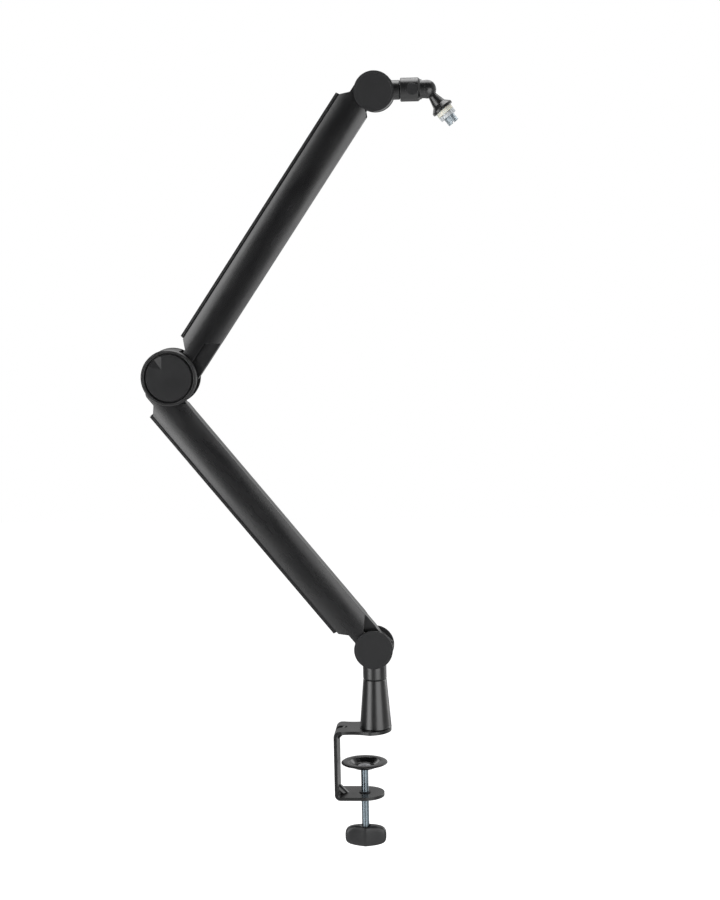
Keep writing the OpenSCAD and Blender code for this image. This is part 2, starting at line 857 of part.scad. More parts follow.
// The thumb scoop is a wide V groove that starts inside the face and is deepest at the edge
module knob_scoop() {
  reach = knob_r * cos(19) - scoop_from;
  slope = atan(scoop_deep / reach);
  long = 3 * reach;
  rotate([0, 0, scoop_dir]) translate([scoop_from, 0, 0]) rotate([0, slope, 0])
    rotate([90, 0, 90]) linear_extrude(long)
      polygon([[0, 0], [3 * scoop_half, 3 * scoop_deep], [-3 * scoop_half, 3 * scoop_deep]]);
}

module tension_knob() {
  edge = 0.9;
  color(satin) translate([elbow_c.x, -knob_front, elbow_c.y]) rotate([90, 0, 0]) difference() {
    rotate_extrude() polygon([[stud_r + 0.02, -knob_t], [knob_r - 0.4, -knob_t],
        [knob_r, -knob_t + 0.4], [knob_r, -edge], [knob_r - edge, 0], [0, 0],
        [0, -1.6], [stud_r + 0.02, -1.6]]);
    knob_scoop();
  }
}

module tension_stud() {
  color(steel) rod(elbow_c, stud_r, -knob_front + 1.7, 9);
}

module tension_washer() {
  color(steel) slab(-knob_back + 0.05, -front_floor - 0.05) translate(elbow_c) difference() {
    circle(knob_r * 0.63);
    circle(stud_r + 0.1);
  }
}

// Tip hub and swivel head

collar_from = 24.5;
collar_to = 34;
groove_r = 9.3;
swivel_from = collar_to + 0.8;
swivel_to = 61.7;
bolt_r = 5;
body_left = -2.2;

// Turns a profile about the swivel's axis, with x measured from the tip hub's centre
module on_swivel() {
  translate([tip_c.x, 0, tip_c.y + swivel_rise]) rotate([0, 90, 0]) children();
}

module tip_hub() {
  color(black) difference() {
    union() {
      slab(-slot_half + 0.05, slot_half - 0.05) translate(tip_c) intersection() {
        circle(cap_r - 0.6);
        translate([body_left, -cap_r]) square([2 * cap_r, 2 * cap_r]);
      }
      slab(-lug_half, lug_half) translate(tip_c)
        strap([0, tip_main.y - tip_c.y], tip_main - tip_c, lug_r, lug_r);
      slab_pair(ear_in, lug_half) translate(tip_c)
        strap([0, tip_second.y - tip_c.y], tip_second - tip_c, ear_r, ear_r);
      on_swivel() rotate_extrude() polygon([[0, 20], [collar_d / 2, 20],
          [collar_d / 2, collar_to - 0.6], [collar_d / 2 - 0.6, collar_to], [0, collar_to]]);
    }
    rod(tip_main, main_pin_d / 2, -20, 20);
    rod(tip_second, bar_pin_d / 2, -20, 20);
    on_swivel() translate([0, 0, 8]) cylinder(r = bolt_r + 0.02, h = 40);
  }
}

module tip_front_cap() {
  color(satin) cap(tip_c, true);
}

module tip_rear_cap() {
  color(satin) cap(tip_c, false);
}

module tip_pins() {
  color(steel) {
    main_pin(tip_main);
    bar_pin(tip_second);
  }
}

module tip_washers() {
  color(cream) pin_washers(tip_main);
}

bolt_end = 56;
bolt_head_r = 8;
bolt_head_t = 3;

module swivel_bolt() {
  color(steel) on_swivel() {
    translate([0, 0, 9]) cylinder(r = bolt_r, h = bolt_end - 9);
    translate([0, 0, collar_to + 0.1]) cylinder(r = groove_r, h = 0.6);
    translate([0, 0, bolt_end - bolt_head_t]) cylinder(r = bolt_head_r, h = bolt_head_t);
  }
}

slot_back = 7.4;
tilt_pin_r = 3;
tilt_pin_half = 11.6;
button_x = 51;
button_r = 8;

module swivel_body() {
  color(black) difference() {
    union() {
      on_swivel() rotate_extrude() polygon([[0, swivel_from], [swivel_d / 2 - 0.8, swivel_from],
          [swivel_d / 2, swivel_from + 0.8], [swivel_d / 2, swivel_to - 3],
          [ball_r - 0.4, swivel_to], [ball_r - 0.4, tilt_x - 2], [0, tilt_x - 2]]);
      translate([tilt_c.x, 0, tilt_c.y]) sphere(ball_r);
    }
    on_swivel() {
      translate([0, 0, swivel_from - eps]) cylinder(r = bolt_r + fit, h = 21);
      translate([0, 0, bolt_end - bolt_head_t - slide_gap])
        cylinder(r = bolt_head_r + fit, h = bolt_head_t + 0.6);
    }
    slab(-fork_gap / 2, fork_gap / 2) translate(tilt_c) translate([-slot_back, -30])
      square([60, 60]);
    rod(tilt_c, tilt_pin_r + 0.02, -tilt_pin_half - 0.1, 2 * tilt_pin_half);
    translate([tip_c.x + button_x, -swivel_d / 2 + 1.2, tip_c.y + swivel_rise])
      rotate([90, 0, 0]) cylinder(r = button_r + 0.1, h = 10);
  }
}

module swivel_button() {
  color(satin) translate([tip_c.x + button_x, -swivel_d / 2 + 1.1, tip_c.y + swivel_rise])
    rotate([90, 0, 0]) rotate_extrude()
      polygon([[0, 0], [button_r, 0], [button_r, 0.2], [button_r - 0.8, 0.9], [0, 0.9]]);
}

module tilt_pin() {
  color(steel) rod(tilt_c, tilt_pin_r, -tilt_pin_half, tilt_pin_half);
}

// Connector for the microphone, turned about its own axis, which starts at the tilting pin
module on_thread() {
  translate([tilt_c.x, 0, tilt_c.y]) rotate([0, 90 + thread_tilt, 0]) children();
}

cone_r = 6.1;
cone_to = 25.3;
flange_from = 30.7;
flange_to = 34.6;
nylon_to = 40.6;
lock_from = nylon_to + 0.4;
lock_to = 46.4;
stud_d = 9.5;
stud_in = 11.9;
slot_deep = 2;
root_r = thread_d / 2 - 0.6;
thread_end = lock_to + thread_len;

module connector_body() {
  color(black) on_thread() difference() {
    union() {
      rotate([90, 0, 0]) cylinder(r = cone_r, h = 2 * cone_r, center = true);
      rotate_extrude() polygon([[0, 0], [cone_r, 0], [cone_r, 12], [9.5, cone_to],
          [flange_d / 2 - 0.8, flange_from - 0.5], [flange_d / 2, flange_from + 0.3],
          [flange_d / 2, flange_to - 0.5], [flange_d / 2 - 0.5, flange_to], [0, flange_to]]);
    }
    rotate([90, 0, 0]) cylinder(r = tilt_pin_r + fit, h = 4 * cone_r, center = true);
    translate([0, 0, flange_to - stud_in - 0.1]) cylinder(r = stud_d / 2 + 0.02, h = 2 * stud_in);
  }
}

module connector_stud() {
  color(steel) on_thread() translate([0, 0, flange_to - stud_in])
    cylinder(r = stud_d / 2, h = thread_end - slot_deep - flange_to + stud_in);
}

module nylon_washer() {
  color(cream) on_thread() difference() {
    translate([0, 0, flange_to]) cylinder(r = ring_d / 2, h = nylon_to - flange_to);
    translate([0, 0, flange_to - eps]) cylinder(r = stud_d / 2 + 0.05, h = 20);
  }
}

module lock_ring() {
  color(steel) on_thread() translate([0, 0, lock_from]) difference() {
    cylinder(r = ring_d / 2, h = lock_to - lock_from);
    translate([0, 0, -eps]) cylinder(r = root_r + fit, h = 20);
    for (a = [0 : 60 : 300]) rotate([0, 0, a]) translate([ring_d / 2 + 0.6, 0, -eps])
      cylinder(r = 2, h = 20);
  }
}

module thread_adapter() {
  color(steel) on_thread() difference() {
    union() {
      translate([0, 0, nylon_to + 0.05]) cylinder(r = root_r, h = thread_end - nylon_to - 1);
      translate([0, 0, lock_to + 0.1]) cylinder(r = thread_d / 2, h = thread_len - 0.7);
      translate([0, 0, thread_end - 0.6 - eps])
        cylinder(r1 = thread_d / 2, r2 = thread_d / 2 - 0.6, h = 0.6 + eps);
    }
    translate([0, 0, nylon_to]) cylinder(r = stud_d / 2 + 0.02, h = 30);
    translate([-slot_deep / 2, -thread_d, thread_end - slot_deep])
      cube([slot_deep, 2 * thread_d, 2 * slot_deep]);
  }
}

clamp_frame();
post();
post_screws();
post_bush();
thread_insert();
pressure_cup();
cup_washer();
clamp_spindle();
wing_knob();
knob_pin();
turret_hub();
turret_front_cap();
turret_rear_cap();
turret_retainer();
base_pins();
base_washers();
lower_profile();
lower_cable_cover();
lower_springs();
lower_spring_pins();
lower_link_bar();
lower_link_base_end();
lower_link_elbow_end();
elbow_hub();
elbow_ring_plate();
elbow_pins();
elbow_washers();
tension_knob();
tension_stud();
tension_washer();
upper_profile();
upper_cable_cover();
upper_springs();
upper_spring_pins();
upper_link_bar();
upper_link_elbow_end();
upper_link_tip_end();
tip_hub();
tip_front_cap();
tip_rear_cap();
tip_pins();
tip_washers();
swivel_bolt();
swivel_body();
swivel_button();
tilt_pin();
connector_body();
connector_stud();
nylon_washer();
lock_ring();
thread_adapter();
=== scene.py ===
"""Looks of a desktop microphone stand with a table clamp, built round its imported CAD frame."""

import json
import math

import bpy
from mathutils import Matrix, Vector


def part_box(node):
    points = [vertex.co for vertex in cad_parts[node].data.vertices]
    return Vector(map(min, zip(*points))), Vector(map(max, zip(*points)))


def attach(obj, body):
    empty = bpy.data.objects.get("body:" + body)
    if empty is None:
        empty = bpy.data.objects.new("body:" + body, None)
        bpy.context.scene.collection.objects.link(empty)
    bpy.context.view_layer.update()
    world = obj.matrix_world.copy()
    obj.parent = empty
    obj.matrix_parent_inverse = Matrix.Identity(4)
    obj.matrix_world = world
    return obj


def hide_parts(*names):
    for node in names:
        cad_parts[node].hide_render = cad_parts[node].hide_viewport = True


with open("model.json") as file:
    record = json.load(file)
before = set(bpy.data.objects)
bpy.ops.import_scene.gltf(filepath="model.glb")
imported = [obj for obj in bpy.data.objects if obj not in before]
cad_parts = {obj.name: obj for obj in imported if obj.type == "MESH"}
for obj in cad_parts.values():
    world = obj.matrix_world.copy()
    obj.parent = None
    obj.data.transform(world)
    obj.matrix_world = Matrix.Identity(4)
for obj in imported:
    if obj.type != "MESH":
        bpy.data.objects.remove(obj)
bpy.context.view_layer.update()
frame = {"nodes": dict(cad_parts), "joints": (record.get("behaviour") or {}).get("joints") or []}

bl_info = {
    "name": "Microphone Stand",
    "version": (1, 1, 0),
    "blender": (4, 5, 0),
    "location": "View3D > Sidebar > Mic Stand",
    "description": "Finishes, threads, springs and stage of a desktop microphone stand",
    "category": "Object",
}

MM = 0.001
JOINTS = {j["name"]: j for j in frame["joints"]}

# Angles are in degrees in the front view: the arms' from the row's x, the thread's from its z.
LOWER_ANGLE = 129.0
UPPER_ANGLE = 55.7
THREAD_ANGLE = 142.0
ARMS = (("lower", LOWER_ANGLE, 447 * MM), ("upper", UPPER_ANGLE, 457 * MM))  # between pins

CUP_WELL = 21.5  # radius of the cup's well in mm
SCREW_RADIUS = 5.25 * MM
ADAPTER_RADIUS = 15.875 / 2 * MM
ADAPTER_BORE = 4.77 * MM
ADAPTER_START, ADAPTER_END = 46.5 * MM, 57 * MM  # along the connector from its tilt pin
NECK_RADIUS = 7.3 * MM
NECK_START = 40.65 * MM
LAP = 0.05 * MM  # how far the neck reaches into the thread

FOCAL_PIXELS, PICTURE_HEIGHT, SENSOR = 1900, 900, 36
FLOOR_HALF, FLOOR_LEVEL = 6.0, -0.72

# Each lamp: name, place, the point it aims at, width, height, radiance.
LAMPS = (
    ("left_box", (-1.39, -1.25, 0.75), (-0.1, 0, 0.75), 1.1, 2.5, 3.2),
    ("right_box", (1.0, -1.5, 0.25), (0, 0, 0.25), 1.5, 1.6, 2.3),
    ("top_box", (0.0, 0.45, 2.3), (0, 0, 0.8), 1.8, 1.5, 3.5),
    ("back_right_box", (1.55, 1.25, 0.5), (0, 0, 0.4), 1.1, 1.8, 2.4),
    ("back_left_box", (-1.3, 1.6, 0.6), (-0.1, 0, 0.4), 0.7, 1.8, 1.8),
)
FINISHES = {}


class StandColours(bpy.types.PropertyGroup):
    """Colours of the stand's finishes"""
    coat: bpy.props.FloatVectorProperty(
        name="Black coat", description="Colour of the coated steel and castings",
        subtype="COLOR", size=3, min=0, max=1, default=(0.0045, 0.0046, 0.0051))
    extrusion: bpy.props.FloatVectorProperty(
        name="Arm profile", description="Colour of the arms' extrusions",
        subtype="COLOR", size=3, min=0, max=1, default=(0.0042, 0.0043, 0.0049))
    cap: bpy.props.FloatVectorProperty(
        name="Caps", description="Colour of the round caps",
        subtype="COLOR", size=3, min=0, max=1, default=(0.013, 0.0132, 0.0142))
    strip: bpy.props.FloatVectorProperty(
        name="Cable covers", description="Colour of the clip-on cable covers",
        subtype="COLOR", size=3, min=0, max=1, default=(0.007, 0.0071, 0.0076))
    knob: bpy.props.FloatVectorProperty(
        name="Tension knob", description="Colour of the round tension knob",
        subtype="COLOR", size=3, min=0, max=1, default=(0.0095, 0.0097, 0.0105))
    wing: bpy.props.FloatVectorProperty(
        name="Wing knob", description="Colour of the moulded wing knob",
        subtype="COLOR", size=3, min=0, max=1, default=(0.014, 0.0143, 0.0152))
    zinc: bpy.props.FloatVectorProperty(
        name="Zinc plate", description="Colour of the plated screw, ring and adapter",
        subtype="COLOR", size=3, min=0, max=1, default=(0.21, 0.255, 0.285))
    nylon: bpy.props.FloatVectorProperty(
        name="Nylon", description="Colour of the cream washers",
        subtype="COLOR", size=3, min=0, max=1, default=(0.78, 0.77, 0.68))


class StandSizes(bpy.types.PropertyGroup):
    """Sizes of the details that the scene adds"""
    screw_pitch: bpy.props.FloatProperty(
        name="Screw pitch", description="Pitch of the clamp screw's thread",
        unit="LENGTH", min=0.0005, max=0.004, default=1.5 * MM)
    adapter_pitch: bpy.props.FloatProperty(
        name="Adapter pitch", description="Pitch of the microphone thread, 27 turns to the inch",
        unit="LENGTH", min=0.0005, max=0.002, default=25.4 * MM / 27)
    spring_wire: bpy.props.FloatProperty(
        name="Spring wire", description="Diameter of the balance springs' wire",
        unit="LENGTH", min=0.0005, max=0.003, default=1.6 * MM)
    edge_round: bpy.props.FloatProperty(
        name="Edge rounding", description="Width of the broken edges of castings and sheet",
        unit="LENGTH", min=0, max=0.002, default=0.6 * MM)


def new_finish(name, colour, roughness, metallic=0.0, specular=0.5):
    """A material with plain values on its shader's sockets and softly broken edges."""
    made = bpy.data.materials.new(name)
    made.use_nodes = True
    tree = made.node_tree
    shader = tree.nodes["Principled BSDF"]
    shader.inputs["Base Color"].default_value = (*colour, 1)
    shader.inputs["Roughness"].default_value = roughness
    shader.inputs["Metallic"].default_value = metallic
    shader.inputs["Specular IOR Level"].default_value = specular
    edge = tree.nodes.new("ShaderNodeBevel")
    edge.name = "broken_edges"
    edge.samples = 12
    edge.inputs["Radius"].default_value = bpy.context.scene.micstand_sizes.edge_round
    tree.links.new(edge.outputs["Normal"], shader.inputs["Normal"])
    made.diffuse_color = (*colour, 1)
    return made, tree, shader


def noise(tree, scale, detail=2.0, rough=0.5, stretch=(1, 1, 1), turn=(0, 0, 0)):
    """Noise in object space with scale in cells to the metre, turned and then stretched."""
    place = tree.nodes.new("ShaderNodeTexCoord")
    mapping = tree.nodes.new("ShaderNodeMapping")
    mapping.vector_type = "TEXTURE"
    mapping.inputs["Scale"].default_value = stretch
    mapping.inputs["Rotation"].default_value = turn
    found = tree.nodes.new("ShaderNodeTexNoise")
    found.inputs["Scale"].default_value = scale
    found.inputs["Detail"].default_value = detail
    found.inputs["Roughness"].default_value = rough
    tree.links.new(place.outputs["Object"], mapping.inputs["Vector"])
    tree.links.new(mapping.outputs["Vector"], found.inputs["Vector"])
    return found.outputs["Fac"]


def spread(tree, value, low, high, from_low=0.3, from_high=0.7):
    """Maps a noise value on to the range from low to high."""
    node = tree.nodes.new("ShaderNodeMapRange")
    node.inputs["From Min"].default_value = from_low
    node.inputs["From Max"].default_value = from_high
    node.inputs["To Min"].default_value = low
    node.inputs["To Max"].default_value = high
    tree.links.new(value, node.inputs["Value"])
    return node.outputs["Result"]


def tint(tree, shader, colour, value, amount):
    """Varies the base colour by amount round the given colour."""
    mix = tree.nodes.new("ShaderNodeMix")
    mix.data_type = "RGBA"
    mix.inputs["A"].default_value = (*[c * (1 - amount) for c in colour], 1)
    mix.inputs["B"].default_value = (*[min(1, c * (1 + amount)) for c in colour], 1)
    tree.links.new(value, mix.inputs["Factor"])
    tree.links.new(mix.outputs["Result"], shader.inputs["Base Color"])


def bumped(tree, shader, value, depth, strength=1.0, after=None):
    """Adds a height to the shader's normal; depth is in metres."""
    bump = tree.nodes.new("ShaderNodeBump")
    bump.inputs["Strength"].default_value = strength
    bump.inputs["Distance"].default_value = depth
    tree.links.new(value, bump.inputs["Height"])
    under = tree.nodes["broken_edges"] if after is None else after
    tree.links.new(under.outputs["Normal"], bump.inputs["Normal"])
    tree.links.new(bump.outputs["Normal"], shader.inputs["Normal"])
    return bump


def coated(name, colour, roughness, specular, grain=1400, depth=0.000008, patch=0.05):
    """A sprayed coat: fine orange peel, a little unevenness in its gloss and depth of black."""
    made, tree, shader = new_finish(name, colour, roughness, 0, specular)
    peel = bumped(tree, shader, noise(tree, grain, 3, 0.55), depth)
    bumped(tree, shader, noise(tree, 220, 2, 0.5), depth * 2, 0.5, peel)
    broad = noise(tree, 45, 3, 0.6)
    tree.links.new(spread(tree, broad, roughness - patch, roughness + patch),
                   shader.inputs["Roughness"])
    tint(tree, shader, colour, broad, 0.12)
    return made


def drawn(name, colour, roughness, specular, angle):
    """A coated extrusion: faint die lines along an arm that leans at angle."""
    made, tree, shader = new_finish(name, colour, roughness, 0, specular)
    turn = (0, -math.radians(angle), 0)
    lines = noise(tree, 700, 2, 0.5, (60, 1, 1), turn)
    peel = bumped(tree, shader, noise(tree, 1500, 2, 0.5), 0.000002)
    bumped(tree, shader, lines, 0.0000015, 0.5, peel)
    broad = noise(tree, 60, 3, 0.6, (4, 1, 1), turn)
    tree.links.new(spread(tree, broad, roughness - 0.04, roughness + 0.04),
                   shader.inputs["Roughness"])
    tint(tree, shader, colour, lines, 0.10)
    return made


def moulded(name, colour, roughness, specular=0.35, grain=2600, depth=0.00002):
    """Moulded plastic with a fine eroded grain."""
    made, tree, shader = new_finish(name, colour, roughness, 0, specular)
    fine = noise(tree, grain, 2, 0.6)
    bumped(tree, shader, fine, depth)
    broad = noise(tree, 60, 2, 0.5)
    tree.links.new(spread(tree, broad, roughness - 0.04, roughness + 0.04),
                   shader.inputs["Roughness"])
    tint(tree, shader, colour, fine, 0.15)
    return made


def plated(name, colour, roughness, stretch=(1, 1, 1), turn=(0, 0, 0), metallic=1.0):
    """Bright plated metal with fine turned lines across its axis."""
    made, tree, shader = new_finish(name, colour, roughness, metallic, 0.5)
    bumped(tree, shader, noise(tree, 70, 2, 0.5, stretch, turn), 0.000002, 0.5)
    cloud = noise(tree, 260, 3, 0.6)
    tree.links.new(spread(tree, cloud, roughness - 0.06, roughness + 0.1),
                   shader.inputs["Roughness"])
    tint(tree, shader, colour, cloud, 0.10)
    return made


def waxy(name, colour):
    """Natural nylon: smooth, faintly cloudy and a little translucent."""
    made, tree, shader = new_finish(name, colour, 0.38, 0, 0.4)
    shader.inputs["Subsurface Weight"].default_value = 0.15
    shader.inputs["Subsurface Radius"].default_value = (0.002, 0.0016, 0.0012)
    tint(tree, shader, colour, noise(tree, 180, 3, 0.6), 0.05)
    bumped(tree, shader, noise(tree, 900, 2, 0.5), 0.000008)
    return made


def make_finishes(colours):
    """All of the stand's materials, by the name that the operators use."""
    across = (1, 1, 1 / 60)
    FINISHES.update(
        strap=coated("strap_coat", colours.coat, 0.28, 0.75, 1100, 0.000003),
        cup=coated("cup_coat", colours.coat, 0.2, 0.7, 1300, 0.000001),
        casting=coated("casting_coat", colours.coat, 0.31, 0.95, 1300, 0.000001, 0.03),
        lower_profile=drawn("lower_profile_coat", colours.extrusion, 0.27, 0.9, LOWER_ANGLE),
        upper_profile=drawn("upper_profile_coat", colours.extrusion, 0.24, 0.9, UPPER_ANGLE),
        lower_link=drawn("lower_link_coat", colours.extrusion, 0.33, 0.7, LOWER_ANGLE),
        upper_link=drawn("upper_link_coat", colours.extrusion, 0.33, 0.7, UPPER_ANGLE),
        cap=moulded("cap_plastic", colours.cap, 0.5, 0.4),
        strip=moulded("strip_plastic", colours.strip, 0.42, 0.45),
        knob=moulded("knob_plastic", colours.knob, 0.42, 0.4, 2600, 0.00001),
        wing=moulded("wing_plastic", colours.wing, 0.33, 0.55, 1800, 0.000006),
        bush=moulded("bush_plastic", colours.strip, 0.5, 0.35),
        zinc=plated("zinc_plate", colours.zinc, 0.22, across),
        ring=plated("ring_plate", [0.52 + c * 0.6 for c in colours.zinc], 0.42, across,
                    (0, math.radians(THREAD_ANGLE), 0), 0.5),
        adapter=plated("adapter_plate", [0.15 + c * 1.2 for c in colours.zinc], 0.3, across,
                       (0, math.radians(THREAD_ANGLE), 0), 0.8),
        rivet=plated("rivet_steel", (0.52, 0.53, 0.55), 0.34, across, metallic=0.7),
        black_steel=plated("black_steel", (0.035, 0.036, 0.039), 0.34, across),
        spring=plated("spring_wire", (0.30, 0.31, 0.33), 0.30),
        steel=plated("pin_steel", (0.52, 0.53, 0.56), 0.3),
        nylon=waxy("cream_nylon", colours.nylon),
    )


def dress(finish, *nodes):
    """Gives CAD nodes one of the stand's finishes."""
    for node in nodes:
        data = frame["nodes"][node].data
        data.materials.clear()
        data.materials.append(FINISHES[finish])


def mesh_piece(name, verts, faces, finish, smooth=True):
    """A new mesh object in the row frame."""
    mesh = bpy.data.meshes.new(name)
    mesh.from_pydata([tuple(v) for v in verts], [], faces)
    mesh.update()
    piece = bpy.data.objects.new(name, mesh)
    bpy.context.scene.collection.objects.link(piece)
    mesh.materials.append(FINISHES[finish])
    if smooth:
        mesh.polygons.foreach_set("use_smooth", [True] * len(mesh.polygons))
    return piece


def axis_frame(origin, direction):
    """Matrix whose z runs along direction from origin, with its y along the row's y."""
    z = Vector(direction).normalized()
    y = Vector((0, 1, 0))
    if abs(z.dot(y)) > 0.9:
        y = Vector((0, 0, 1))
    x = y.cross(z).normalized()
    y = z.cross(x)
    found = Matrix((x, y, z)).transposed().to_4x4()
    found.translation = Vector(origin)
    return found


def arm_frame(pin, angle):
    """An arm's own frame: x along the arm from a pin, y out to the cable cover, z to the front."""
    a = math.radians(angle)
    x = Vector((math.cos(a), 0, math.sin(a)))
    y = Vector((-math.sin(a), 0, math.cos(a)))
    found = Matrix((x, y, x.cross(y))).transposed().to_4x4()
    found.translation = Vector(pin)
    return found


def turned(name, place, outline, finish, sides=64):
    """A solid of revolution from an outline of [radius, height] with its ends on the axis."""
    verts = [place @ Vector((0, 0, outline[0][1]))]
    inner = outline[1:-1]
    for r, z in inner:
        for k in range(sides):
            a = 2 * math.pi * k / sides
            verts.append(place @ Vector((r * math.cos(a), r * math.sin(a), z)))
    verts.append(place @ Vector((0, 0, outline[-1][1])))
    last = len(verts) - 1
    faces = []
    for k in range(sides):
        n = (k + 1) % sides
        faces.append((0, 1 + n, 1 + k))
        for i in range(len(inner) - 1):
            a, b = 1 + i * sides, 1 + (i + 1) * sides
            faces.append((a + k, a + n, b + n, b + k))
        top = 1 + (len(inner) - 1) * sides
        faces.append((top + k, top + n, last))
    return mesh_piece(name, verts, faces, finish)


def threaded_rod(name, place, low, high, radius, pitch, depth, chamfer, finish, sides=48,
                 bore=0.0):
    """A rod with a helical thread between two heights on its own axis, in metres."""
    rows_to_a_turn = 6
    steps = int(round((high - low) / pitch * rows_to_a_turn))
    verts, faces = [], []

    def crest(z, turn):
        """Radius at a height, a part of a turn round the axis, with both ends chamfered."""
        phase = ((z / pitch) - turn) % 1.0
        ridge = min(1.0, max(0.0, (abs(phase - 0.5) * 2 - 0.12) / 0.76))
        trim = min(1.0, (z - low) / chamfer, (high - z) / chamfer)
        return min(radius - depth * ridge, radius - depth + depth * max(0.0, trim))

    heights = [low + (high - low) * i / steps for i in range(steps + 1)]
    for z in heights:
        for k in range(sides):
            a = 2 * math.pi * k / sides
            r = crest(z, k / sides)
            verts.append(place @ Vector((r * math.cos(a), r * math.sin(a), z)))
    for i in range(steps):
        for k in range(sides):
            n = (k + 1) % sides
            faces.append((i * sides + k, i * sides + n, (i + 1) * sides + n, (i + 1) * sides + k))
    if bore:
        base = len(verts)
        for z in (low, high):
            for k in range(sides):
                a = 2 * math.pi * k / sides
                verts.append(place @ Vector((bore * math.cos(a), bore * math.sin(a), z)))
        top = steps * sides
        for k in range(sides):
            n = (k + 1) % sides
            faces.append((base + n, base + k, base + sides + k, base + sides + n))
            faces.append((k, base + k, base + n, n))
            faces.append((top + n, base + sides + n, base + sides + k, top + k))
    else:
        faces.append(tuple(reversed(range(sides))))
        faces.append(tuple(range(steps * sides, (steps + 1) * sides)))
    return mesh_piece(name, verts, faces, finish)


def box(place, half, middle):
    """Vertices and faces of a block about a middle in the given frame."""
    verts = [place @ Vector((middle[0] + half[0] * (2 * (i & 1) - 1),
                             middle[1] + half[1] * ((i & 2) - 1),
                             middle[2] + half[2] * ((i & 4) / 2 - 1))) for i in range(8)]
    faces = [(0, 2, 3, 1), (4, 5, 7, 6), (0, 1, 5, 4), (2, 6, 7, 3), (0, 4, 6, 2), (1, 3, 7, 5)]
    return verts, faces


def rounded(loop, rounds=2):
    """A closed loop of [radius, height] with its corners cut softly, twice by default."""
    for _ in range(rounds):
        softer = []
        for (r, z), (next_r, next_z) in zip(loop, loop[1:] + loop[:1]):
            softer += [[0.75 * r + 0.25 * next_r, 0.75 * z + 0.25 * next_z],
                       [0.25 * r + 0.75 * next_r, 0.25 * z + 0.75 * next_z]]
        loop = softer
    return loop


def ring(place, loop, sides=72):
    """Vertices and faces of a ring whose section is a closed loop of [radius, height]."""
    verts, faces = [], []
    for r, z in loop:
        for k in range(sides):
            a = 2 * math.pi * k / sides
            verts.append(place @ Vector((r * math.cos(a), r * math.sin(a), z)))
    for k in range(sides):
        n = (k + 1) % sides
        for i in range(len(loop)):
            a, b = i * sides, (i + 1) % len(loop) * sides
            faces.append((a + k, a + n, b + n, b + k))
    return verts, faces


def cut_away(piece, cutter):
    """Takes the cutter's solid out of a piece for good."""
    cut = piece.modifiers.new("cut", "BOOLEAN")
    cut.operation = "DIFFERENCE"
    cut.solver = "EXACT"
    cut.object = cutter
    bpy.context.view_layer.update()
    done = bpy.data.meshes.new_from_object(
        piece.evaluated_get(bpy.context.evaluated_depsgraph_get()))
    piece.modifiers.clear()
    piece.data = done
    bpy.data.objects.remove(cutter)


def spring_path(start, length, coil_r, wire_r, pin_r, hook, per_turn=12):
    """Centre line of a close wound tension spring with an eye over a pin at either end."""
    eye = pin_r + wire_r + 0.05 * MM
    near = []
    for b in range(330, 29, -15):
        near.append(Vector((start + eye * math.cos(math.radians(b)),
                            eye * math.sin(math.radians(b)), 0)))
    near.append(Vector((start + eye + 2 * MM, 0, 0)))
    near.append(Vector((start + hook - 1.5 * MM, 0, 0)))
    count = int(length / (2.03 * wire_r)) * per_turn
    coil = []
    for i in range(count + 1):
        a = 2 * math.pi * i / per_turn
        rise = min(1.0, 2 * i / per_turn, 2 * (count - i) / per_turn)
        coil.append(Vector((start + hook + length * i / count,
                            coil_r * rise * math.cos(a), coil_r * rise * math.sin(a))))
    whole = 2 * start + 2 * hook + length
    far = [Vector((whole - p.x, p.y, p.z)) for p in reversed(near)]
    return near + coil + far


def wire(paths, place, wire_r, sides=6):
    """Vertices and faces of round wires swept along the given centre lines."""
    verts, faces = [], []
    for path in paths:
        base = len(verts)
        count = len(path)
        normal = Vector((0, 0, 1))
        for i, p in enumerate(path):
            ahead = (path[min(i + 1, count - 1)] - path[max(i - 1, 0)]).normalized()
            normal = (normal - ahead * normal.dot(ahead)).normalized()
            other = ahead.cross(normal)
            for k in range(sides):
                b = 2 * math.pi * k / sides
                verts.append(place @ (p + wire_r * (math.cos(b) * normal + math.sin(b) * other)))
        for i in range(count - 1):
            for k in range(sides):
                n = (k + 1) % sides
                a, b = base + i * sides, base + (i + 1) * sides
                faces.append((a + k, a + n, b + n, b + k))
        faces.append(tuple(base + k for k in reversed(range(sides))))
        faces.append(tuple(base + (count - 1) * sides + k for k in range(sides)))
    return verts, faces


